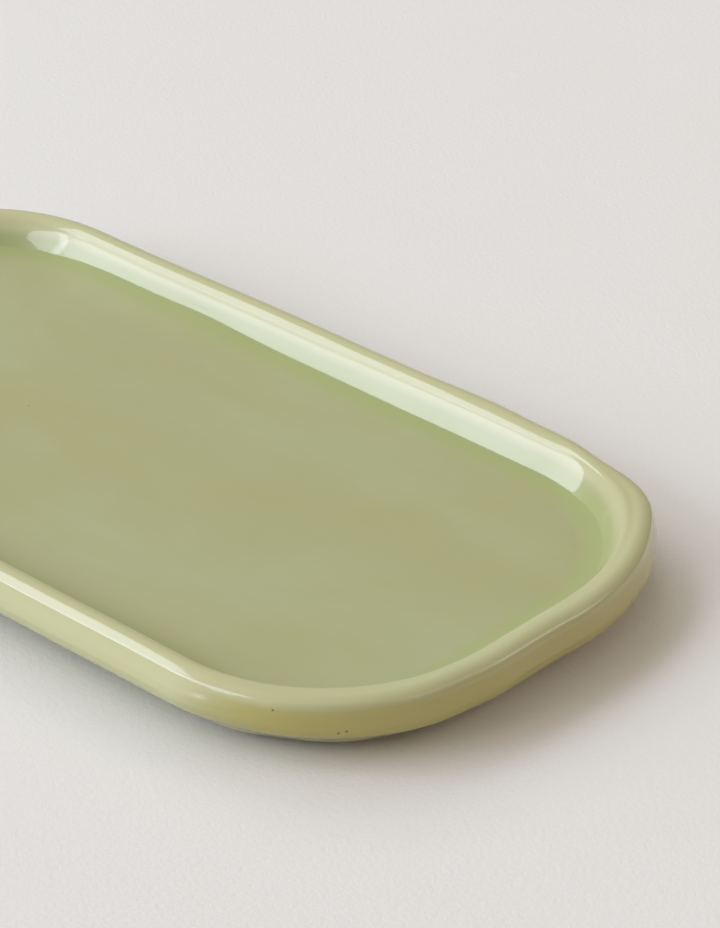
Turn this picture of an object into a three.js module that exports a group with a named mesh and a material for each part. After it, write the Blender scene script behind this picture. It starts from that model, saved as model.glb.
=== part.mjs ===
// A hand-finished stoneware tray: a shallow well inside a thick rolled rim, on a low foot ring.
// Millimetres, +Z up. It stands on z = 0 with its length along X and its width along Y.
// The fired clay is one piece. The glaze fused to it is two: a coat from the well over the rim
// and down the outside to a glaze line, and a film in the recess inside the bare foot.
import * as THREE from "three";
import { mergeVertices } from "three/addons/utils/BufferGeometryUtils.js";

// Plan, at the widest line of the rim
const LENGTH = 285;
const WIDTH = 150;
const CORNER_RADIUS = 55;
const END_BOW = 2; // how far each short end swells past a straight line

// Rim and walls, as a section. A tilt is measured from level.
const HEIGHT = 18;
const CREST_INSET = 5.4; // from the widest line in to the top of the crest
const CREST_RADIUS = 4.4;
const ARRIS_TILT_DEG = 37; // where the crest breaks to the flank, over a soft edge
const ARRIS_RADIUS = 1.4;
const FLANK_TILT_DEG = 66; // the flat flank outside
const ROLL_RADIUS = 4; // at the widest line
const TUCK_DEG = 52; // lean of the outer wall under the roll, from upright
const BASE_TURN_RADIUS = 3; // from the outer wall into the underside
const WELL_DEPTH = 8.3;
const WELL_SLOPE_DEG = 55; // inner wall
const CREASE_RADIUS = 0.6; // the quick turn where the wall meets the cove
const COVE_SLOPE_DEG = 20; // the cove at the crease, easing to level at the floor
const COVE_RADIUS = 17;

// Foot ring
const FOOT_HEIGHT = 2;
const FOOT_WIDTH = 6;
const FOOT_ROUND = 0.8;
const GLAZED_MARGIN = 3; // level glazed strip between the base turn and the glaze line
const BARE_STRIP = 1.5; // clay left clean between a glaze line and the foot

// Glaze thickness: even on the flats, thin where it ran off the rim, thick where it pooled
const GLAZE = 0.5;
const GLAZE_ON_RIM = 0.3;
const GLAZE_IN_COVE = 1;

// Marks of the hand: place round the outline as a share of the way from the middle of the +X end
// towards +Y, push inwards (minus is outwards), and the length that the mark spreads over. A mark on the rim
// is faint on the wall inside it, and a bow takes the whole wall with it.
const RIM_MARKS = [
  { at: 0.018, push: -0.8, spread: 9 },
  { at: 0.09, push: -1.6, spread: 13 },
  { at: 0.12, push: 0.9, spread: 9 },
  { at: 0.173, push: -0.8, spread: 14 },
  { at: 0.425, push: 0.9, spread: 12 },
  { at: 0.51, push: -0.7, spread: 14 },
  { at: 0.606, push: 0.8, spread: 10 },
  { at: 0.722, push: -0.6, spread: 16 },
  { at: 0.883, push: 0.6, spread: 9 },
  { at: 0.963, push: 0.75, spread: 8 },
];
const BOWS = [{ at: 0.255, push: -1.2, spread: 50 }];
const BASE_MARKS = [
  { at: 0.032, push: -1.1, spread: 8 },
  { at: 0.15, push: 0.7, spread: 14 },
  { at: 0.38, push: -0.8, spread: 12 },
  { at: 0.55, push: 0.9, spread: 14 },
  { at: 0.7, push: -0.6, spread: 12 },
  { at: 0.81, push: -0.8, spread: 9 },
  { at: 0.883, push: -0.9, spread: 8 },
  { at: 0.92, push: -0.9, spread: 13 },
  { at: 0.965, push: 1.1, spread: 11 },
  { at: 0.995, push: 1.2, spread: 11 },
];
// The crest of the rim rises and falls: waves round the outline, height, and start as a share of a wave.
const RIM_WAVES = [
  { count: 2, rise: 0.3, start: 0.15 },
  { count: 5, rise: 0.2, start: 0.4 },
  { count: 9, rise: 0.12, start: 0.7 },
];
// The rim leans outwards by this slope at a place round the outline, and inwards opposite.
const RIM_LEAN = 0.1;
const LEAN_PLACE = 0.87;

// Facets
const STATIONS = 88; // round the outline
const ARC_STEP_DEG = 16; // along the section
const FOOT_STEP_DEG = 45; // on the foot's small rounds

// Heights and insets that follow from the sizes above. An inset is measured in from the rim's widest line.
const FLOOR_HEIGHT = HEIGHT - WELL_DEPTH;
const CLAY_UNDERSIDE = FOOT_HEIGHT + GLAZE;
const level = Math.PI / 2;
const arrisTilt = THREE.MathUtils.degToRad(ARRIS_TILT_DEG);
const flankTilt = THREE.MathUtils.degToRad(FLANK_TILT_DEG);
const tuck = THREE.MathUtils.degToRad(TUCK_DEG);
const wellSlope = THREE.MathUtils.degToRad(WELL_SLOPE_DEG);
const coveSlope = THREE.MathUtils.degToRad(COVE_SLOPE_DEG);

// Inner wall: it leaves the crest at the well's slope and runs straight down to the crease.
const CREST_MIDDLE = HEIGHT - CREST_RADIUS;
const COVE_MIDDLE = FLOOR_HEIGHT + COVE_RADIUS;
const creaseMiddle = COVE_MIDDLE - (COVE_RADIUS - CREASE_RADIUS) * Math.cos(coveSlope);
const wallDrop = CREST_MIDDLE + CREST_RADIUS * Math.cos(wellSlope)
  - (creaseMiddle - CREASE_RADIUS * Math.cos(wellSlope));
const WALL_TOP_INSET = CREST_INSET + CREST_RADIUS * Math.sin(wellSlope);
const CREASE_INSET = WALL_TOP_INSET + wallDrop / Math.tan(wellSlope);
const creaseMiddleInset = CREASE_INSET + CREASE_RADIUS * Math.sin(wellSlope);
const FLOOR_INSET = creaseMiddleInset + (COVE_RADIUS - CREASE_RADIUS) * Math.sin(coveSlope);

// Rim outside: the crest turns over the arris, and the flank runs straight down to the roll.
const arrisInset = CREST_INSET - (CREST_RADIUS - ARRIS_RADIUS) * Math.sin(arrisTilt);
const arrisMiddle = CREST_MIDDLE + (CREST_RADIUS - ARRIS_RADIUS) * Math.cos(arrisTilt);
const flankRun = (arrisInset - ARRIS_RADIUS * Math.sin(flankTilt) - ROLL_RADIUS * (1 - Math.sin(flankTilt)))
  / Math.cos(flankTilt);
const WIDEST_HEIGHT = arrisMiddle - (ROLL_RADIUS - ARRIS_RADIUS) * Math.cos(flankTilt)
  - flankRun * Math.sin(flankTilt);

// Outer wall: it leaves the roll at the tuck's lean and runs straight down to the base turn.
const tuckTop = ROLL_RADIUS * (1 - Math.cos(tuck));
const tuckDrop = WIDEST_HEIGHT - ROLL_RADIUS * Math.sin(tuck)
  - (FOOT_HEIGHT + BASE_TURN_RADIUS * (1 - Math.sin(tuck)));
const BASE_INSET = tuckTop + tuckDrop * Math.tan(tuck) + BASE_TURN_RADIUS * Math.cos(tuck);
const GLAZE_LINE = BASE_INSET + GLAZED_MARGIN;
const FOOT_OUTSIDE = GLAZE_LINE + BARE_STRIP;
const FOOT_INSIDE = FOOT_OUTSIDE + FOOT_WIDTH;

// Points of the section are (inset, height).
function arc(inset, height, radius, from, to, stepDeg = ARC_STEP_DEG) {
  const steps = Math.ceil(Math.abs(to - from) / THREE.MathUtils.degToRad(stepDeg));
  return new THREE.EllipseCurve(inset, height, radius, radius, from, to, to < from).getPoints(steps);
}

// Each point of a stretch gets its glaze, which swells or thins towards the middle of the stretch.
function coat(points, middle) {
  return points.map((point, i) => {
    const share = Math.sin((Math.PI * i) / (points.length - 1));
    return { point, glaze: GLAZE + (middle - GLAZE) * share };
  });
}

// The face of the glaze, from the edge of the floor up, over the rim, down and in to the glaze line.
function glazeFace() {
  const cove = arc(FLOOR_INSET, COVE_MIDDLE, COVE_RADIUS, -level, -level - coveSlope);
  const crease = arc(creaseMiddleInset, creaseMiddle, CREASE_RADIUS, -level - coveSlope, -level - wellSlope);
  const crest = arc(CREST_INSET, CREST_MIDDLE, CREST_RADIUS, level - wellSlope, level + arrisTilt);
  const arris = arc(arrisInset, arrisMiddle, ARRIS_RADIUS, level + arrisTilt, level + flankTilt);
  const roll = arc(ROLL_RADIUS, WIDEST_HEIGHT, ROLL_RADIUS, level + flankTilt, 2 * level + tuck);
  const turn = arc(BASE_INSET, FOOT_HEIGHT + BASE_TURN_RADIUS, BASE_TURN_RADIUS, 2 * level + tuck, 3 * level);
  const end = new THREE.Vector2(GLAZE_LINE, FOOT_HEIGHT);
  return [
    ...coat([...cove, ...crease.slice(1)], GLAZE_IN_COVE),
    ...coat([...crest, ...arris.slice(1), ...roll], GLAZE_ON_RIM),
    ...coat(turn, GLAZE),
    { point: end, glaze: GLAZE },
  ];
}

// The clay under that face: each point moved into the wall by the thickness of the glaze there.
function clayFace(face) {
  return face.map(({ point, glaze }, i) => {
    const before = face[Math.max(i - 1, 0)].point;
    const after = face[Math.min(i + 1, face.length - 1)].point;
    const along = new THREE.Vector2()
      .add(point.clone().sub(before).normalize())
      .add(after.clone().sub(point).normalize())
      .normalize();
    return new THREE.Vector2(point.x - along.y * glaze, point.y + along.x * glaze);
  });
}

// The bare foot, from its root under the wall to the recess inside the ring.
function footFace() {
  return [
    new THREE.Vector2(FOOT_OUTSIDE, CLAY_UNDERSIDE),
    ...arc(FOOT_OUTSIDE + FOOT_ROUND, FOOT_ROUND, FOOT_ROUND, 2 * level, 3 * level, FOOT_STEP_DEG),
    ...arc(FOOT_INSIDE - FOOT_ROUND, FOOT_ROUND, FOOT_ROUND, -level, 0, FOOT_STEP_DEG),
    new THREE.Vector2(FOOT_INSIDE, CLAY_UNDERSIDE),
  ];
}

// The sum of the marks at a place round the outline.
function marksAt(marks, at, outlineLength) {
  return marks.reduce((sum, mark) => {
    const apart = Math.abs(at - mark.at);
    const distance = Math.min(apart, 1 - apart) * outlineLength;
    return sum + mark.push * Math.exp(-((distance / mark.spread) ** 2));
  }, 0);
}

// Stations round the outline, anticlockwise from the middle of the +X end, each with what the hand did there.
function outlineStations() {
  const x = LENGTH / 2 - END_BOW;
  const y = WIDTH / 2;
  const r = CORNER_RADIUS;
  const quarter = Math.PI / 2;
  const path = new THREE.Path().moveTo(x, 0).lineTo(x, y - r);
  path.absarc(x - r, y - r, r, 0, quarter);
  path.absarc(r - x, y - r, r, quarter, 2 * quarter);
  path.absarc(r - x, r - y, r, 2 * quarter, 3 * quarter);
  path.absarc(x - r, r - y, r, 3 * quarter, 4 * quarter);
  path.lineTo(x, 0);
  const bowed = path.getSpacedPoints(STATIONS).slice(0, STATIONS).map((p) => {
    const swell = END_BOW * (1 - (p.y / y) ** 2);
    return new THREE.Vector2(p.x + Math.sign(p.x) * swell, p.y);
  });
  const outlineLength = path.getLength();
  return bowed.map((point, i) => {
    const along = bowed[(i + 1) % STATIONS].clone().sub(bowed[(i + STATIONS - 1) % STATIONS]).normalize();
    const at = i / STATIONS;
    return {
      point,
      inward: new THREE.Vector2(-along.y, along.x),
      rimPush: marksAt(RIM_MARKS, at, outlineLength),
      bow: marksAt(BOWS, at, outlineLength),
      basePush: marksAt(BASE_MARKS, at, outlineLength),
      lift: RIM_WAVES.reduce((sum, w) => sum + w.rise * Math.sin(2 * Math.PI * (w.count * at + w.start)), 0),
      lean: RIM_LEAN * Math.cos(2 * Math.PI * (at - LEAN_PLACE)),
    };
  });
}

// Where a point of the section lies at a station. Marks and bows die out before the floor, so that it stays
// flat, and the crest's rise, fall and lean die away down both walls.
function place(station, section) {
  const { smoothstep } = THREE.MathUtils;
  const low = 1 - smoothstep(section.y, FOOT_HEIGHT, FLOOR_HEIGHT - 1);
  const onRim = 1 - 0.75 * smoothstep(section.x, CREST_INSET / 2, WALL_TOP_INSET);
  const offFloor = 1 - smoothstep(section.x, CREASE_INSET, FLOOR_INSET - 1);
  const onBase = 1 - smoothstep(section.x, 2 * CREST_INSET, FOOT_INSIDE - 1);
  const rimPush = (station.rimPush * onRim + station.bow) * offFloor;
  const push = THREE.MathUtils.lerp(rimPush, station.basePush * onBase, low);
  const lift = station.lift * smoothstep(section.y, FLOOR_HEIGHT, HEIGHT)
    + station.lean * (section.x - CREST_INSET) * smoothstep(section.y, WIDEST_HEIGHT, HEIGHT);
  const plan = station.point.clone().addScaledVector(station.inward, section.x + push);
  return new THREE.Vector3(plan.x, plan.y, section.y + lift);
}

const stations = outlineStations();
const ring = (section) => stations.map((station) => place(station, section));

// Triangles between rings that follow each other down the outside of the section.
function sheet(rings) {
  const triangles = [];
  for (let i = 0; i + 1 < rings.length; i++) {
    for (let j = 0; j < STATIONS; j++) {
      const k = (j + 1) % STATIONS;
      triangles.push([rings[i][j], rings[i + 1][j], rings[i + 1][k]]);
      triangles.push([rings[i][j], rings[i + 1][k], rings[i][k]]);
    }
  }
  return triangles;
}

// A level face inside a ring, facing up.
function cap(points) {
  const plan = points.map((p) => new THREE.Vector2(p.x, p.y));
  return THREE.ShapeUtils.triangulateShape(plan, []).map((corners) => corners.map((c) => points[c]));
}

const turnedOver = (triangles) => triangles.map(([a, b, c]) => [a, c, b]);

function mesh(name, triangles, material) {
  const geometry = mergeVertices(new THREE.BufferGeometry().setFromPoints(triangles.flat()));
  geometry.computeVertexNormals();
  const made = new THREE.Mesh(geometry, material);
  made.name = name;
  return made;
}

const clayMaterial = new THREE.MeshStandardMaterial({ color: 0xb49a78, roughness: 0.9, metalness: 0 });
const glazeMaterial = new THREE.MeshStandardMaterial({ color: 0xaaa97f, roughness: 0.15, metalness: 0 });

const face = glazeFace();
const faceRings = face.map(({ point }) => ring(point));
const clayRings = clayFace(face).map(ring);
const footRings = footFace().map(ring);

// Fired clay: floor, wall and rim under the glaze, then the bare foot and the recess.
function clayBody() {
  const triangles = [
    ...cap(clayRings[0]),
    ...sheet(clayRings),
    ...sheet([clayRings.at(-1), ...footRings]),
    ...turnedOver(cap(footRings.at(-1))),
  ];
  return mesh("clay_body", triangles, clayMaterial);
}

// Main coat: its face, the step at the glaze line, and the back that lies on the clay.
function glazeCoat() {
  const triangles = [
    ...cap(faceRings[0]),
    ...sheet(faceRings),
    ...sheet([faceRings.at(-1), clayRings.at(-1)]),
    ...turnedOver(sheet(clayRings)),
    ...turnedOver(cap(clayRings[0])),
  ];
  return mesh("glaze_coat", triangles, glazeMaterial);
}

// Film of glaze in the recess inside the foot ring.
function undersideGlaze() {
  const edge = FOOT_INSIDE + BARE_STRIP;
  const back = ring(new THREE.Vector2(edge, CLAY_UNDERSIDE));
  const front = ring(new THREE.Vector2(edge, FOOT_HEIGHT));
  const triangles = [...cap(back), ...sheet([back, front]), ...turnedOver(cap(front))];
  return mesh("underside_glaze", triangles, glazeMaterial);
}

const tray = new THREE.Group();
tray.add(clayBody(), glazeCoat(), undersideGlaze());

// The marks leave the outline a little off centre: the tray's own box is set about the origin.
const centre = new THREE.Box3().setFromObject(tray).getCenter(new THREE.Vector3());
tray.position.set(-centre.x, -centre.y, 0);

export default tray;
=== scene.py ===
import math

import bmesh
import bpy
import numpy as np
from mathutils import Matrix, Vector, noise


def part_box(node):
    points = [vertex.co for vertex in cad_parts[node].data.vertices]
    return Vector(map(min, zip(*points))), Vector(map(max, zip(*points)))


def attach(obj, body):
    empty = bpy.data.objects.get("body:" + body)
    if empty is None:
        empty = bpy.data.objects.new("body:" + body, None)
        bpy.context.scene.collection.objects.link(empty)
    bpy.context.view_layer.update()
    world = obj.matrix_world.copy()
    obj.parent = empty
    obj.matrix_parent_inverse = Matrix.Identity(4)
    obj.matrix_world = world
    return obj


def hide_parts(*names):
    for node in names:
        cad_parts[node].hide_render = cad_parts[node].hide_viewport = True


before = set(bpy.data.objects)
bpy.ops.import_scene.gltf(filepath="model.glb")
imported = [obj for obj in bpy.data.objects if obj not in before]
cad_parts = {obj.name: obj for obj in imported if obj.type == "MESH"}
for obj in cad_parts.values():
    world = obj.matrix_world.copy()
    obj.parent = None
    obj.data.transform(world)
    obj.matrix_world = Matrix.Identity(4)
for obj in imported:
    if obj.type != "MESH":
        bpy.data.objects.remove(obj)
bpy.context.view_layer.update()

MM = 0.001
LEVEL = math.pi / 2

# The outline is even about the middle of the film under the tray, which no hand mark reaches.
film_low, film_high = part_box("underside_glaze")
MIDDLE_X = (film_low.x + film_high.x) / 2
MIDDLE_Y = (film_low.y + film_high.y) / 2

# Plan, at the widest line of the rim, a hair inside the solid's own outline
OUTLINE_CLEARANCE = 0.2 * MM
LENGTH = 285 * MM - 2 * OUTLINE_CLEARANCE
WIDTH = 150 * MM - 2 * OUTLINE_CLEARANCE
CORNER_RADIUS = 55 * MM
END_BOW = 2 * MM  # how far each short end swells past a straight line

# A hair under the solid's own height
TOP_CLEARANCE = 0.05 * MM

# Rim and walls, as a section. A tilt is measured from level.
HEIGHT = 18 * MM - TOP_CLEARANCE
CREST_INSET = 5.4 * MM
CREST_RADIUS = 4.4 * MM
ARRIS_TILT = math.radians(37)  # where the crest breaks to the flank, over a soft edge
ARRIS_RADIUS = 1.4 * MM
FLANK_TILT = math.radians(66)  # the flat flank outside
ROLL_RADIUS = 4 * MM  # at the widest line
TUCK = math.radians(52)  # lean of the wall under the roll, from upright
BASE_TURN_RADIUS = 3 * MM
WELL_DEPTH = 8.3 * MM
WELL_SLOPE = math.radians(55)
WALL_SWELL = 0.03 * MM  # the inner wall swells under the rim and hollows above the cove by this much
CREASE_RADIUS = 0.6 * MM  # the quick turn where the wall meets the cove
COVE_SLOPE = math.radians(20)
COVE_RADIUS = 17 * MM

# Foot ring
FOOT_HEIGHT = 2 * MM
FOOT_WIDTH = 6 * MM
FOOT_ROUND = 0.8 * MM
FOOT_DRAFT = 0.1 * MM  # lean of the foot's sides
GLAZED_MARGIN = 3 * MM
BARE_STRIP = 1.5 * MM

# Glaze over the clay, and the clearance between their faces
GLAZE = 0.5 * MM
GLAZE_CLEARANCE = 0.05 * MM

# Heights, insets and runs that follow. An inset is measured in from the rim's widest line.
FLANK_RUN = (
    CREST_INSET
    - CREST_RADIUS * math.sin(ARRIS_TILT)
    - ARRIS_RADIUS * (math.sin(FLANK_TILT) - math.sin(ARRIS_TILT))
    - ROLL_RADIUS * (1 - math.sin(FLANK_TILT))
) / math.cos(FLANK_TILT)
WIDEST_HEIGHT = (
    HEIGHT
    - CREST_RADIUS * (1 - math.cos(ARRIS_TILT))
    - ARRIS_RADIUS * (math.cos(ARRIS_TILT) - math.cos(FLANK_TILT))
    - FLANK_RUN * math.sin(FLANK_TILT)
    - ROLL_RADIUS * math.cos(FLANK_TILT)
)
FLOOR_HEIGHT = HEIGHT - WELL_DEPTH
WALL_DROP = (
    WELL_DEPTH
    - CREST_RADIUS * (1 - math.cos(WELL_SLOPE))
    - CREASE_RADIUS * (math.cos(COVE_SLOPE) - math.cos(WELL_SLOPE))
    - COVE_RADIUS * (1 - math.cos(COVE_SLOPE))
)
WALL_TOP_INSET = CREST_INSET + CREST_RADIUS * math.sin(WELL_SLOPE)
CREASE_INSET = WALL_TOP_INSET + WALL_DROP / math.tan(WELL_SLOPE)
FLOOR_INSET = (
    CREASE_INSET
    + CREASE_RADIUS * (math.sin(WELL_SLOPE) - math.sin(COVE_SLOPE))
    + COVE_RADIUS * math.sin(COVE_SLOPE)
)
TUCK_DROP = (
    WIDEST_HEIGHT
    - ROLL_RADIUS * math.sin(TUCK)
    - FOOT_HEIGHT
    - BASE_TURN_RADIUS * (1 - math.sin(TUCK))
)
BASE_INSET = (
    ROLL_RADIUS * (1 - math.cos(TUCK))
    + TUCK_DROP * math.tan(TUCK)
    + BASE_TURN_RADIUS * math.cos(TUCK)
)
GLAZE_LINE = BASE_INSET + GLAZED_MARGIN
FOOT_OUTSIDE = GLAZE_LINE + BARE_STRIP
FOOT_INSIDE = FOOT_OUTSIDE + FOOT_WIDTH
FILM_EDGE = FOOT_INSIDE + BARE_STRIP

# Marks of the hand: place round the outline as a share of the way from the middle of the +X end
# towards +Y, push inwards in millimetres (minus is outwards), and the millimetres it spreads over.
# A mark on the rim is faint on the wall inside it, and a bow takes the whole wall with it.
RIM_MARKS = (
    (0.018, -0.8, 9),
    (0.09, -1.6, 13),
    (0.12, 0.9, 9),
    (0.173, -0.8, 14),
    (0.425, 0.9, 12),
    (0.51, -0.7, 14),
    (0.606, 0.8, 10),
    (0.722, -0.6, 16),
    (0.883, 0.6, 9),
    (0.963, 0.75, 8),
)
WALL_FADE = 0.75  # the share of a rim mark that is lost on the wall inside
BOWS = ((0.255, -1.2, 50),)
# Where the crease at the foot of the inner wall lies higher up the wall, by millimetres of its slope
CREASE_LIFTS = ((0.3, 1.3, 20), (0.345, 1.4, 20))
LIFT_REACH = 14 * MM  # how far over the floor a lift dies out
# At the +X end the rim's outer shoulder is pushed out, and a groove runs along its top. Both start and
# are full where the outline faces +X by these shares, and so does the painted shade on that end's flank by
# its own.
SHAPED_END = (0.1, 0.7)
SHADED_END_SHARES = (-0.05, 0.5)
SHOULDER_PUSH = 0.95 * MM
GROOVE_DEPTH = 0.42 * MM
GROOVE_WIDTH = 1.2 * MM
BASE_MARKS = (
    (0.032, -1.1, 8),
    (0.15, 0.7, 14),
    (0.38, -0.8, 12),
    (0.55, 0.9, 14),
    (0.7, -0.6, 12),
    (0.81, -0.8, 9),
    (0.883, -0.9, 8),
    (0.92, -0.9, 13),
    (0.965, 1.1, 11),
    (0.995, 1.2, 11),
)
# The rim's crest rises and falls: waves round the outline, height in millimetres,
# and start as a share of a wave.
RIM_WAVES = ((2, 0.3, 0.15), (5, 0.2, 0.4), (9, 0.12, 0.7))
# The rim leans outwards by this slope at a place round the outline, and inwards opposite.
RIM_LEAN = 0.1
LEAN_PLACE = 0.87
# Ripples left in the floor and walls: height, and the length of a ripple along X and along Y and Z
RIPPLE = 0.07 * MM
RIPPLE_LENGTH = 42 * MM
RIPPLE_WIDTH = 21 * MM

# Segments along each long side, each end and each corner of the outline
FINE = (48, 12, 24)
COARSE = (30, 8, 16)
ARC_STEP = math.radians(14)
RUN_STEP = 1.4 * MM

# Glaze colours: plain, thin, cloudy, pooled, broken pale over the rim, painted shade on the flank outside the
# +X end, and specks
SAGE = (0.402, 0.415, 0.207)
OLIVE = (0.402, 0.408, 0.19)
MIST = (0.425, 0.47, 0.26)
POOL = (0.362, 0.425, 0.155)
BROKEN = (0.57, 0.563, 0.318)
# Painted shade: a darker olive laid on the flank outside the +X end, which faces away from the light
SHADE_OLIVE = (0.41, 0.36, 0.09)
IRON_SPECK = (0.06, 0.05, 0.03)
# Pinholes in the glaze outside, in millimetres
PINHOLES = ((112.5, -67, 14.6), (125.4, -58.4, 9.7), (126.8, -57.1, 10.2))
PINHOLE_RADIUS = 0.45 * MM

# Camera: the point on the table in the middle of the picture, and where the eye is from there
PICTURE_HEIGHT = 928
FOCAL_PIXELS = 4000
SENSOR = 36
LOOK_AT = Vector((36.01, 47.33, 0)) * MM
EYE_AZIMUTH = math.radians(42.28)
EYE_ELEVATION = math.radians(30.83)
EYE_DISTANCE = 1052.6 * MM

# Lights: azimuth, elevation, and half of the width and of the height as seen from the tray, in degrees;
# then watts for each square metre, and colour
DAYLIGHT = (0.93, 1, 1.16)
LIGHTS = {
    "window_top": (-71, 50, 18, 7, 11, DAYLIGHT),
    "window_front": (-47, 23, 15, 10, 14, DAYLIGHT),
    "window_edge": (-21, 26, 12, 13, 12, DAYLIGHT),
    "window_bar": (-47, 38, 15, 5, 8, DAYLIGHT),
    "pale_wall": (-121, 35, 18, 12, 9, DAYLIGHT),
    "warm_wall": (141, 35, 10, 8, 6, (1, 0.76, 0.78)),
    "warm_room": (105, 30, 28, 16, 2.6, (1, 0.82, 0.76)),
}
LIGHT_DISTANCE = 4.5
UNMIRRORED = ("pale_wall",)  # lights the tray without showing in its reflections
# The room is brighter towards one side
ROOM_BRIGHT = (0.57, 0.53, 0.41)
ROOM_DIM = (0.09, 0.075, 0.06)
ROOM_SIDE = Vector((-0.8, -0.35, 0.45)).normalized()


def direction(azimuth, elevation):
    """A unit vector. Azimuth 0 is the -Y side of the tray, and it turns towards +X."""
    level = math.cos(elevation)
    return Vector((math.sin(azimuth) * level, -math.cos(azimuth) * level, math.sin(elevation)))


# Section

def turn(points, heading, stop, radius):
    """Adds points round an arc of the section between two headings: 0 is inwards, a right angle is up."""
    inset, height = points[-1]
    steps = math.ceil(abs(stop - heading) / ARC_STEP)
    bend = math.copysign(radius, heading - stop)
    for i in range(1, steps + 1):
        angle = heading + (stop - heading) * i / steps
        across = bend * (math.sin(heading) - math.sin(angle))
        up = bend * (math.cos(angle) - math.cos(heading))
        points.append((inset + across, height + up))


def run(points, heading, length, swell=0):
    """Adds points along a straight run, which may swell on its first half and hollow on its second."""
    inset, height = points[-1]
    steps = math.ceil(length / RUN_STEP)
    for i in range(1, steps + 1):
        way = length * i / steps
        off = swell * math.sin(2 * math.pi * i / steps)
        across = way * math.cos(heading) - off * math.sin(heading)
        up = way * math.sin(heading) + off * math.cos(heading)
        points.append((inset + across, height + up))


def upper_section(depth):
    """From the rim's widest line over the crest to the floor, at a depth below the glaze's face."""
    points = [(depth, WIDEST_HEIGHT)]
    turn(points, LEVEL, FLANK_TILT, ROLL_RADIUS - depth)
    run(points, FLANK_TILT, FLANK_RUN)
    turn(points, FLANK_TILT, ARRIS_TILT, ARRIS_RADIUS - depth)
    turn(points, ARRIS_TILT, -WELL_SLOPE, CREST_RADIUS - depth)
    run(points, -WELL_SLOPE, WALL_DROP / math.sin(WELL_SLOPE), WALL_SWELL)
    turn(points, -WELL_SLOPE, -COVE_SLOPE, CREASE_RADIUS + depth)
    turn(points, -COVE_SLOPE, 0, COVE_RADIUS + depth)
    return points


def lower_section(depth):
    """From the rim's widest line down the tucked wall and round on to the underside."""
    points = [(depth, WIDEST_HEIGHT)]
    turn(points, -LEVEL, TUCK - LEVEL, ROLL_RADIUS - depth)
    run(points, TUCK - LEVEL, TUCK_DROP / math.cos(TUCK))
    turn(points, TUCK - LEVEL, 0, BASE_TURN_RADIUS - depth)
    return [*points, (GLAZE_LINE, FOOT_HEIGHT + depth)]


def foot_section(depth):
    """From the root of the bare foot, round its ring and back up to the recess inside it."""
    points = [(FOOT_OUTSIDE, FOOT_HEIGHT + depth), (FOOT_OUTSIDE + FOOT_DRAFT, FOOT_ROUND)]
    turn(points, -LEVEL, 0, FOOT_ROUND)
    points.append((FOOT_INSIDE - FOOT_DRAFT - FOOT_ROUND, 0))
    turn(points, 0, LEVEL, FOOT_ROUND)
    return [*points, (FOOT_INSIDE, FOOT_HEIGHT + depth), (FILM_EDGE, FOOT_HEIGHT + depth)]


# Modelling

def outline_face(name, segments, height):
    """A level face that fills the tray's outline: a plane with its corners rounded and its ends bowed."""
    side, end, corner = segments
    bpy.ops.object.select_all(action="DESELECT")
    bpy.ops.mesh.primitive_plane_add(size=1, location=(MIDDLE_X, MIDDLE_Y, height))
    piece = bpy.context.object
    piece.name = name
    piece.scale = (LENGTH - 2 * END_BOW, WIDTH, 1)
    bpy.ops.object.transform_apply(location=True, rotation=True, scale=True)
    bpy.ops.object.mode_set(mode="EDIT")
    bpy.ops.mesh.bevel(affect="VERTICES", offset=CORNER_RADIUS, segments=corner, profile=0.5)
    bpy.ops.mesh.delete(type="ONLY_FACE")
    bpy.ops.mesh.select_mode(type="EDGE")
    split_straight_edges(piece, Vector((1, 0, 0)), side)
    split_straight_edges(piece, Vector((0, 1, 0)), end)
    bpy.ops.mesh.select_all(action="SELECT")
    bpy.ops.mesh.edge_face_add()
    bpy.ops.object.mode_set(mode="OBJECT")
    for vertex in piece.data.vertices:
        share = (vertex.co.y - MIDDLE_Y) / (WIDTH / 2)
        vertex.co.x += math.copysign(END_BOW * (1 - share * share), vertex.co.x)
    return piece


def split_straight_edges(piece, axis, count):
    """Divides the outline's long straight edges that lie along an axis."""
    mesh = bmesh.from_edit_mesh(piece.data)
    shortest = WIDTH / 2 - CORNER_RADIUS
    for edge in mesh.edges:
        way = edge.verts[1].co - edge.verts[0].co
        edge.select_set(way.length > shortest and abs(way.normalized().dot(axis)) > 0.999)
    bpy.ops.mesh.subdivide(number_cuts=count - 1)


def sweep_inwards(piece, section, facing):
    """Steps a face in along a section, with a band of wall at each step. Facing is 1 up, -1 down."""
    bpy.context.view_layer.objects.active = piece
    bpy.ops.object.mode_set(mode="EDIT")
    bpy.ops.mesh.select_mode(type="FACE")
    bpy.ops.mesh.select_all(action="SELECT")
    if piece.data.polygons[0].normal.z * facing < 0:
        bpy.ops.mesh.flip_normals()
    for (inset, height), (next_inset, next_height) in zip(section, section[1:]):
        bpy.ops.mesh.inset(thickness=next_inset - inset, depth=facing * (next_height - height))


def close_with_grid(segments):
    """Puts a grid in place of the selected face, with its corners half way round the outline's corners."""
    side, end, corner = segments
    mesh = bmesh.from_edit_mesh(bpy.context.edit_object.data)
    face = next(f for f in mesh.faces if f.select)
    edge_line = face.verts[0].co.z
    inner_edge = min(abs(v.co.y - MIDDLE_Y) for v in face.verts if abs(v.co.x - MIDDLE_X) < 10 * MM)
    bpy.ops.mesh.delete(type="ONLY_FACE")
    bpy.ops.mesh.select_mode(type="EDGE")
    loop = [
        e for e in mesh.edges
        if e.is_boundary and abs(e.verts[0].co.z - edge_line) < 0.01 * MM
        and abs(e.verts[0].co.y - MIDDLE_Y) < inner_edge + 0.01 * MM
    ]
    for edge in loop:
        edge.select_set(True)
    corners = Vector((1, 1, 0))
    start = max((v for e in loop for v in e.verts), key=lambda v: v.co.dot(corners))
    mesh.select_history.add(start)
    bpy.ops.mesh.fill_grid(span=end + corner)


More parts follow.
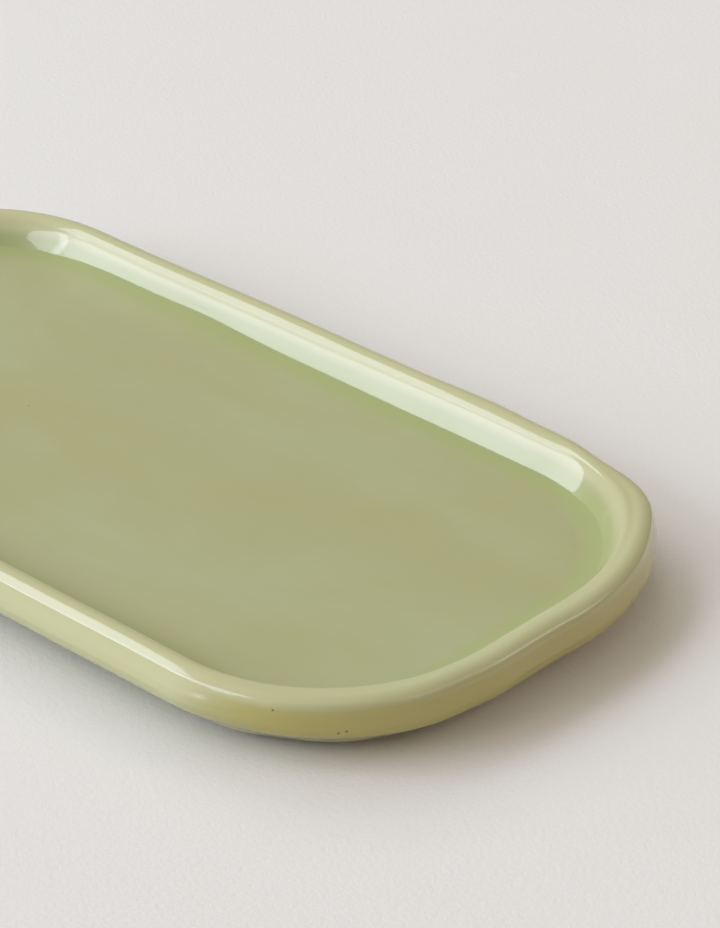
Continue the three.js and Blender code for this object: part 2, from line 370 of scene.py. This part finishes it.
def join_halves(upper, lower):
    """Joins two halves at the rim's widest line into one mesh."""
    bpy.ops.object.mode_set(mode="OBJECT")
    bpy.ops.object.select_all(action="DESELECT")
    lower.select_set(True)
    upper.select_set(True)
    bpy.context.view_layer.objects.active = upper
    bpy.ops.object.join()
    bpy.ops.object.mode_set(mode="EDIT")
    bpy.ops.mesh.select_all(action="SELECT")
    bpy.ops.mesh.remove_doubles(threshold=0.01 * MM)
    bpy.ops.object.mode_set(mode="OBJECT")
    return upper


def apply_modifier(piece, kind, **values):
    """Adds a modifier to a piece and applies it."""
    bpy.context.view_layer.objects.active = piece
    modifier = piece.modifiers.new(kind.title(), kind)
    for name, value in values.items():
        setattr(modifier, name, value)
    bpy.ops.object.modifier_apply(modifier=modifier.name)


def smooth(piece):
    """Rounds off the facets of a finished cage."""
    apply_modifier(piece, "SUBSURF", levels=1, render_levels=1)
    bpy.ops.object.select_all(action="DESELECT")
    piece.select_set(True)
    bpy.ops.object.shade_smooth()


# Marks of the hand

def read_points(piece):
    """The piece's points as rows of x, y, z."""
    points = np.empty(len(piece.data.vertices) * 3)
    piece.data.vertices.foreach_get("co", points)
    return points.reshape(-1, 3)


def round_the_outline(points):
    """Each point's share of the way round the outline, its inset and its way in; and the outline's length."""
    corner_x = LENGTH / 2 - END_BOW - CORNER_RADIUS
    corner_y = WIDTH / 2 - CORNER_RADIUS
    x, y = points[:, 0] - MIDDLE_X, points[:, 1] - MIDDLE_Y
    out_x, out_y = np.abs(x) - corner_x, np.abs(y) - corner_y
    past_x, past_y = np.maximum(out_x, 0), np.maximum(out_y, 0)
    reach = np.hypot(past_x, past_y)
    inset = CORNER_RADIUS - reach - np.minimum(np.maximum(out_x, out_y), 0)
    angle = np.arctan2(past_y, past_x)
    quarter = corner_y + CORNER_RADIUS * LEVEL + corner_x
    at_end = np.minimum(np.abs(y), corner_y)
    at_side = np.where(past_y > 0, corner_x - np.minimum(np.abs(x), corner_x), 0)
    way = at_end + CORNER_RADIUS * angle + at_side
    way = np.where(x * y >= 0, way, -way)
    way = np.where(x >= 0, way, way + 2 * quarter)
    length = 4 * quarter
    safe = np.maximum(reach, 1e-9)
    inwards = np.stack([-np.sign(x) * past_x / safe, -np.sign(y) * past_y / safe], axis=1)
    return (way / length) % 1, inset, inwards, length


def marks_at(marks, at, length):
    """The sum of the marks at places round the outline."""
    total = np.zeros_like(at)
    for place, push, spread in marks:
        apart = np.abs(at - place)
        distance = np.minimum(apart, 1 - apart) * length
        total += push * MM * np.exp(-((distance / (spread * MM)) ** 2))
    return total


def smoothstep(value, low, high):
    """0 below low, 1 above high, and a smooth rise between."""
    share = np.clip((value - low) / (high - low), 0, 1)
    return share * share * (3 - 2 * share)


def ripples(points):
    """A gentle unevenness over the clay, longer along the tray than across it."""
    stretch = np.array([1 / RIPPLE_LENGTH, 1 / RIPPLE_WIDTH, 1 / RIPPLE_WIDTH])
    return RIPPLE * np.array([noise.noise(Vector(place)) for place in points * stretch])


def shape_end(height, inset, inwards):
    """At the +X end: how far the rim's shoulder goes out, and how deep the groove is."""
    end = smoothstep(-inwards[:, 0], *SHAPED_END)
    shoulder = smoothstep(height, WIDEST_HEIGHT + 0.5 * MM, WIDEST_HEIGHT + 5.5 * MM)
    shoulder *= 1 - smoothstep(inset, 2 * MM, CREST_INSET)
    groove = np.exp(-(((inset - CREST_INSET) / GROOVE_WIDTH) ** 2))
    return SHOULDER_PUSH * end * shoulder, GROOVE_DEPTH * end * groove


def slide_crease(at, inset, inside, length):
    """How far points round the crease slide up the inner wall."""
    at_crease = smoothstep(inset, WALL_TOP_INSET, CREASE_INSET) * inside
    at_crease *= 1 - smoothstep(inset, CREASE_INSET, CREASE_INSET + LIFT_REACH)
    return marks_at(CREASE_LIFTS, at, length) * at_crease


def press_by_hand(piece):
    """Moves the piece's points as the hand did: dents, swells, a wavering leaning rim, and faint ripples."""
    points = read_points(piece)
    at, inset, inwards, length = round_the_outline(points)
    on_rim = 1 - WALL_FADE * smoothstep(inset, CREST_INSET / 2, WALL_TOP_INSET)
    on_base = 1 - smoothstep(inset, 2 * CREST_INSET, FOOT_INSIDE - 1 * MM)
    low = 1 - smoothstep(points[:, 2], FOOT_HEIGHT, FLOOR_HEIGHT - 1 * MM)
    rim = smoothstep(points[:, 2], WIDEST_HEIGHT, HEIGHT)
    inside = smoothstep(points[:, 2], FOOT_HEIGHT, FLOOR_HEIGHT)
    off_floor = 1 - smoothstep(inset, CREASE_INSET, FLOOR_INSET - 1 * MM)
    rim_push = (marks_at(RIM_MARKS, at, length) * on_rim + marks_at(BOWS, at, length)) * off_floor
    push = rim_push * (1 - low) + marks_at(BASE_MARKS, at, length) * on_base * low
    lift = sum(rise * MM * np.sin(2 * np.pi * (count * at + start)) for count, rise, start in RIM_WAVES)
    lean = RIM_LEAN * np.cos(2 * np.pi * (at - LEAN_PLACE)) * (inset - CREST_INSET)
    ripple = ripples(points) * inside
    shoulder, groove = shape_end(points[:, 2], inset, inwards)
    slide = slide_crease(at, inset, inside, length)
    push -= shoulder + slide * math.cos(WELL_SLOPE)
    points[:, :2] += inwards * (push + ripple)[:, None]
    points[:, 2] += lift * smoothstep(points[:, 2], FLOOR_HEIGHT, HEIGHT) + lean * rim + ripple
    points[:, 2] += slide * math.sin(WELL_SLOPE) - groove * rim
    piece.data.vertices.foreach_set("co", points.ravel())
    piece.data.update()


def paint(piece, name, values):
    """Stores a value for each of the piece's points, for its material to read."""
    layer = piece.data.attributes.new(name, "FLOAT", "POINT")
    layer.data.foreach_set("value", values.astype(np.float32))


def paint_glaze(piece):
    """Marks where the glaze pooled in the cove and broke thin over the rim, and where painted shade goes on
    the flank outside the +X end, which faces away from the light.
    """
    points = read_points(piece)
    _, inset, inwards, _ = round_the_outline(points)
    height = points[:, 2]
    inside = smoothstep(height, FOOT_HEIGHT, FLOOR_HEIGHT)
    pool = smoothstep(inset, WALL_TOP_INSET, CREASE_INSET) * inside
    pool *= 1 - smoothstep(inset, FLOOR_INSET - 3 * MM, FLOOR_INSET)
    rim = smoothstep(height, FOOT_HEIGHT, HEIGHT - 4 * MM)
    rim *= 1 - smoothstep(inset, WALL_TOP_INSET, WALL_TOP_INSET + 2 * MM)
    # Painted shade: the flank outside the +X end, which faces away from the light, gets a darker olive, and
    # the pale rim colour is taken off that flank
    shaded_end = smoothstep(-inwards[:, 0], *SHADED_END_SHARES)
    high = smoothstep(height, WIDEST_HEIGHT, HEIGHT - 2 * MM)
    flank = 1 - smoothstep(height, HEIGHT - 3.5 * MM, HEIGHT - 1 * MM)
    flank *= 1 - inside * smoothstep(inset, 0, CREST_INSET)
    paint(piece, "pooled", pool)
    paint(piece, "broken", rim * (1 - shaded_end * (1 - 0.8 * high)))
    paint(piece, "end_shade", shaded_end * flank)


# Pieces

def clay_body():
    """The fired clay, one piece under the glaze, with its bare foot ring."""
    depth = GLAZE + GLAZE_CLEARANCE
    section = upper_section(depth)
    upper = outline_face("clay_upper", COARSE, section[0][1])
    sweep_inwards(upper, [(0, section[0][1]), *section], 1)
    close_with_grid(COARSE)
    bpy.ops.object.mode_set(mode="OBJECT")
    section = [*lower_section(depth), *foot_section(depth)]
    lower = outline_face("clay_lower", COARSE, section[0][1])
    sweep_inwards(lower, [(0, section[0][1]), *section], -1)
    close_with_grid(COARSE)
    piece = join_halves(upper, lower)
    piece.name = "tray_clay"
    smooth(piece)
    press_by_hand(piece)
    return piece


def glaze_coat():
    """The glaze over the well, the rim and the outside, ending at the glaze line under the base."""
    upper = outline_face("glaze_upper", FINE, WIDEST_HEIGHT)
    sweep_inwards(upper, upper_section(0), 1)
    close_with_grid(FINE)
    bpy.ops.object.mode_set(mode="OBJECT")
    lower = outline_face("glaze_lower", FINE, WIDEST_HEIGHT)
    sweep_inwards(lower, lower_section(0), -1)
    bpy.ops.mesh.delete(type="FACE")
    piece = join_halves(upper, lower)
    piece.name = "tray_glaze"
    smooth(piece)
    paint_glaze(piece)
    press_by_hand(piece)
    apply_modifier(piece, "SOLIDIFY", thickness=GLAZE, offset=-1)
    return piece


def underside_film():
    """The separate film of glaze in the recess inside the foot ring, with a rounded edge."""
    piece = outline_face("tray_film", COARSE, FOOT_HEIGHT + GLAZE)
    sweep_inwards(piece, [(0, FOOT_HEIGHT + GLAZE), (FILM_EDGE, FOOT_HEIGHT + GLAZE)], -1)
    bpy.ops.mesh.select_all(action="INVERT")
    bpy.ops.mesh.delete(type="FACE")
    edge = [(FILM_EDGE, FOOT_HEIGHT + GLAZE)]
    turn(edge, -LEVEL, 0, GLAZE - GLAZE_CLEARANCE)
    sweep_inwards(piece, edge, -1)
    close_with_grid(COARSE)
    bpy.ops.object.mode_set(mode="OBJECT")
    smooth(piece)
    for name in ("pooled", "broken", "end_shade"):
        paint(piece, name, np.zeros(len(piece.data.vertices)))
    apply_modifier(piece, "SOLIDIFY", thickness=GLAZE / 2, offset=-1)
    return piece


# Materials

def put(tree, kind, inputs=None, **settings):
    """Adds a node. Each input is a value, or a socket to link from."""
    node = tree.nodes.new("ShaderNode" + kind)
    for name, value in settings.items():
        setattr(node, name, value)
    for name, value in (inputs or {}).items():
        if isinstance(value, bpy.types.NodeSocket):
            tree.links.new(value, node.inputs[name])
        else:
            node.inputs[name].default_value = value
    return node


def blend(tree, share, first, second):
    """Mixes two colours, each a triple or a socket."""
    node = put(tree, "Mix", data_type="RGBA")
    sockets = (node.inputs[0], node.inputs[6], node.inputs[7])
    for socket, value in zip(sockets, (share, first, second)):
        if isinstance(value, bpy.types.NodeSocket):
            tree.links.new(value, socket)
        else:
            socket.default_value = (*value, 1) if isinstance(value, tuple) else value
    return node.outputs[2]


def sums(tree, operation, first, second):
    """One step of arithmetic on two values."""
    return put(tree, "Math", {0: first, 1: second}, operation=operation).outputs[0]


def new_group(name, inputs):
    """A shader node group with a Vector input, the named value inputs and one Mask output."""
    tree = bpy.data.node_groups.new(name, "ShaderNodeTree")
    tree.interface.new_socket("Vector", in_out="INPUT", socket_type="NodeSocketVector")
    for label in inputs:
        tree.interface.new_socket(label, in_out="INPUT", socket_type="NodeSocketFloat")
    tree.interface.new_socket("Mask", in_out="OUTPUT", socket_type="NodeSocketFloat")
    return tree, tree.nodes.new("NodeGroupInput"), tree.nodes.new("NodeGroupOutput")


def cloud_group():
    """Soft cloudy patches about one unit across: 0 under Low and 1 over High."""
    tree, given, result = new_group("clouds", ("Low", "High"))
    patches = put(
        tree, "TexNoise",
        {"Vector": given.outputs["Vector"], "Scale": 1, "Detail": 4, "Roughness": 0.55, "Distortion": 0.4},
    )
    mask = put(
        tree, "MapRange",
        {"Value": patches.outputs[0], "From Min": given.outputs["Low"], "From Max": given.outputs["High"]},
        interpolation_type="SMOOTHSTEP",
    )
    tree.links.new(mask.outputs[0], result.inputs["Mask"])
    return tree


def speck_group():
    """Round specks, at most one in each unit of space. Size is their radius, Share how many have one."""
    tree, given, result = new_group("specks", ("Size", "Share"))
    cells = put(tree, "TexVoronoi", {"Vector": given.outputs["Vector"], "Scale": 1})
    spot = put(
        tree, "MapRange",
        {"Value": cells.outputs["Distance"], "From Min": given.outputs["Size"], "From Max": 0},
        interpolation_type="SMOOTHSTEP",
    )
    lot = put(tree, "SeparateColor", {"Color": cells.outputs["Color"]})
    chosen = sums(tree, "LESS_THAN", lot.outputs[0], given.outputs["Share"])
    mask = sums(tree, "MULTIPLY", spot.outputs[0], chosen)
    tree.links.new(mask, result.inputs["Mask"])
    return tree


CLOUDS = cloud_group()
SPECKS = speck_group()


def masked(tree, group, vector, **values):
    """Places a group in a material and gives its mask."""
    node = tree.nodes.new("ShaderNodeGroup")
    node.node_tree = group
    tree.links.new(vector, node.inputs["Vector"])
    for name, value in values.items():
        node.inputs[name].default_value = value
    return node.outputs["Mask"]


def per_metre(tree, along, across):
    """Object coordinates in units of a pattern, with its lengths along X and across it in metres."""
    place = put(tree, "TexCoord")
    scale = (1 / along, 1 / across, 1 / across)
    return put(tree, "Mapping", {"Vector": place.outputs["Object"], "Scale": scale}).outputs[0]


def new_material(name):
    """A material with its node tree and its shader."""
    made = bpy.data.materials.new(name)
    made.use_nodes = True
    return made, made.node_tree, made.node_tree.nodes["Principled BSDF"]


def uneven(tree, shader, height, distance):
    """Bumps the shader's surface by a height between 0 and 1."""
    bump = put(tree, "Bump", {"Height": height, "Distance": distance, "Strength": 1})
    tree.links.new(bump.outputs[0], shader.inputs["Normal"])


def pinhole(tree, place, spot):
    """A mask that is 1 at a spot given in millimetres and fades out round it."""
    middle = tuple(value * MM for value in spot)
    apart = put(tree, "VectorMath", {0: place, 1: middle}, operation="DISTANCE").outputs["Value"]
    limits = {"Value": apart, "From Min": PINHOLE_RADIUS, "From Max": PINHOLE_RADIUS / 3}
    return put(tree, "MapRange", limits, interpolation_type="SMOOTHSTEP").outputs[0]


def glaze_material():
    """Glossy sage glaze: cloudy, green where it pooled, pale on the rim, with specks, and painted shade in
    olive on the flank outside the +X end.
    """
    made, tree, shader = new_material("sage_glaze")
    clouds = masked(tree, CLOUDS, per_metre(tree, 46 * MM, 17 * MM), Low=0.36, High=0.62)
    mist = masked(tree, CLOUDS, per_metre(tree, 90 * MM, 44 * MM), Low=0.42, High=0.68)
    streaks = masked(tree, CLOUDS, per_metre(tree, 24 * MM, 5 * MM), Low=0.3, High=0.75)
    specks = masked(tree, SPECKS, per_metre(tree, 13 * MM, 13 * MM), Size=0.03, Share=0.22)
    place = put(tree, "TexCoord").outputs["Object"]
    for spot in PINHOLES:
        specks = sums(tree, "MAXIMUM", specks, pinhole(tree, place, spot))
    pooled = put(tree, "Attribute", attribute_name="pooled").outputs["Fac"]
    broken = put(tree, "Attribute", attribute_name="broken").outputs["Fac"]
    end_shade = put(tree, "Attribute", attribute_name="end_shade").outputs["Fac"]
    colour = blend(tree, clouds, OLIVE, SAGE)
    colour = blend(tree, sums(tree, "MULTIPLY", mist, 0.6), colour, MIST)
    colour = blend(tree, sums(tree, "MULTIPLY", streaks, 0.25), colour, SAGE)
    colour = blend(tree, sums(tree, "MULTIPLY", pooled, 0.7), colour, POOL)
    colour = blend(tree, sums(tree, "MULTIPLY", broken, 0.8), colour, BROKEN)
    # Painted shade: darker olive over the flank outside the +X end
    colour = blend(tree, sums(tree, "MULTIPLY", end_shade, 0.95), colour, SHADE_OLIVE)
    colour = blend(tree, sums(tree, "MULTIPLY", specks, 0.85), colour, IRON_SPECK)
    tree.links.new(colour, shader.inputs["Base Color"])
    dullness = put(tree, "MapRange", {"Value": clouds, "To Min": 0.4, "To Max": 0.34})
    tree.links.new(dullness.outputs[0], shader.inputs["Roughness"])
    shader.inputs["Coat Weight"].default_value = 1
    shader.inputs["Coat Roughness"].default_value = 0.05
    peel = masked(tree, CLOUDS, per_metre(tree, 5 * MM, 3.5 * MM), Low=0.2, High=0.8)
    surface = sums(tree, "SUBTRACT", peel, sums(tree, "MULTIPLY", specks, 3))
    uneven(tree, shader, surface, 0.012 * MM)
    return made


def clay_material():
    """Fired bare stoneware: sandy, matte and freckled."""
    made, tree, shader = new_material("bare_stoneware")
    patches = masked(tree, CLOUDS, per_metre(tree, 25 * MM, 18 * MM), Low=0.35, High=0.7)
    sand = masked(tree, CLOUDS, per_metre(tree, 0.9 * MM, 0.9 * MM), Low=0.3, High=0.7)
    freckles = masked(tree, SPECKS, per_metre(tree, 2.6 * MM, 2.6 * MM), Size=0.12, Share=0.3)
    colour = blend(tree, patches, (0.42, 0.3, 0.17), (0.49, 0.37, 0.225))
    colour = blend(tree, sums(tree, "MULTIPLY", sand, 0.35), colour, (0.56, 0.45, 0.3))
    colour = blend(tree, sums(tree, "MULTIPLY", freckles, 0.8), colour, (0.12, 0.07, 0.035))
    tree.links.new(colour, shader.inputs["Base Color"])
    shader.inputs["Roughness"].default_value = 0.88
    uneven(tree, shader, sand, 0.06 * MM)
    return made


def table_material():
    """A pale matte table top with a faint tooth."""
    made, tree, shader = new_material("pale_table")
    patches = masked(tree, CLOUDS, per_metre(tree, 160 * MM, 160 * MM), Low=0.3, High=0.7)
    tooth = masked(tree, CLOUDS, per_metre(tree, 1.4 * MM, 1.4 * MM), Low=0.25, High=0.75)
    colour = blend(tree, patches, (0.79, 0.78, 0.765), (0.805, 0.797, 0.785))
    colour = blend(tree, sums(tree, "MULTIPLY", tooth, 0.3), colour, (0.76, 0.75, 0.735))
    tree.links.new(colour, shader.inputs["Base Color"])
    shader.inputs["Roughness"].default_value = 0.7
    uneven(tree, shader, tooth, 0.05 * MM)
    return made


# The tray
GLAZE_LOOK = glaze_material()

glaze = glaze_coat()
glaze.data.materials.append(GLAZE_LOOK)
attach(glaze, "root")
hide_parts("glaze_coat")

clay = clay_body()
clay.data.materials.append(clay_material())
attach(clay, "root")
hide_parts("clay_body")

film = underside_film()
film.data.materials.append(GLAZE_LOOK)
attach(film, "root")
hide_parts("underside_glaze")


# Table, light and camera
bpy.ops.object.select_all(action="DESELECT")
bpy.ops.mesh.primitive_plane_add(size=8, location=(0, 0, 0))
table = bpy.context.object
table.name = "table"
table.data.materials.append(table_material())


def soft_light(name, azimuth, elevation, half_width, half_height, glow, colour):
    """An even rectangle of light that faces the tray."""
    facing = direction(math.radians(azimuth), math.radians(elevation))
    bpy.ops.object.light_add(type="AREA", location=facing * LIGHT_DISTANCE)
    light = bpy.context.object
    light.name = name
    light.data.shape = "RECTANGLE"
    light.data.size = 2 * LIGHT_DISTANCE * math.tan(math.radians(half_width))
    light.data.size_y = 2 * LIGHT_DISTANCE * math.tan(math.radians(half_height))
    light.data.energy = glow * light.data.size * light.data.size_y
    light.data.color = colour
    light.visible_glossy = name not in UNMIRRORED
    light.rotation_mode = "QUATERNION"
    light.rotation_quaternion = facing.to_track_quat("Z", "Y")


for light_name, values in LIGHTS.items():
    soft_light(light_name, *values)


def room():
    """The light from the rest of the room, warm and brighter towards one side."""
    made = bpy.data.worlds.new("room")
    made.use_nodes = True
    tree = made.node_tree
    place = put(tree, "TexCoord").outputs["Generated"]
    toward = {0: place, 1: tuple(ROOM_SIDE)}
    along = put(tree, "VectorMath", toward, operation="DOT_PRODUCT").outputs["Value"]
    share = put(tree, "MapRange", {"Value": along, "From Min": -1, "From Max": 1}).outputs[0]
    colour = blend(tree, share, ROOM_DIM, ROOM_BRIGHT)
    tree.links.new(colour, tree.nodes["Background"].inputs["Color"])
    return made


bpy.context.scene.world = room()

eye = direction(EYE_AZIMUTH, EYE_ELEVATION)
bpy.ops.object.camera_add(location=LOOK_AT + eye * EYE_DISTANCE)
camera = bpy.context.object
camera.name = "camera"
camera.data.sensor_width = SENSOR
camera.data.lens = FOCAL_PIXELS / PICTURE_HEIGHT * SENSOR
camera.rotation_mode = "QUATERNION"
camera.rotation_quaternion = eye.to_track_quat("Z", "Y")
bpy.context.scene.camera = camera
bpy.context.scene.view_settings.view_transform = "Standard"
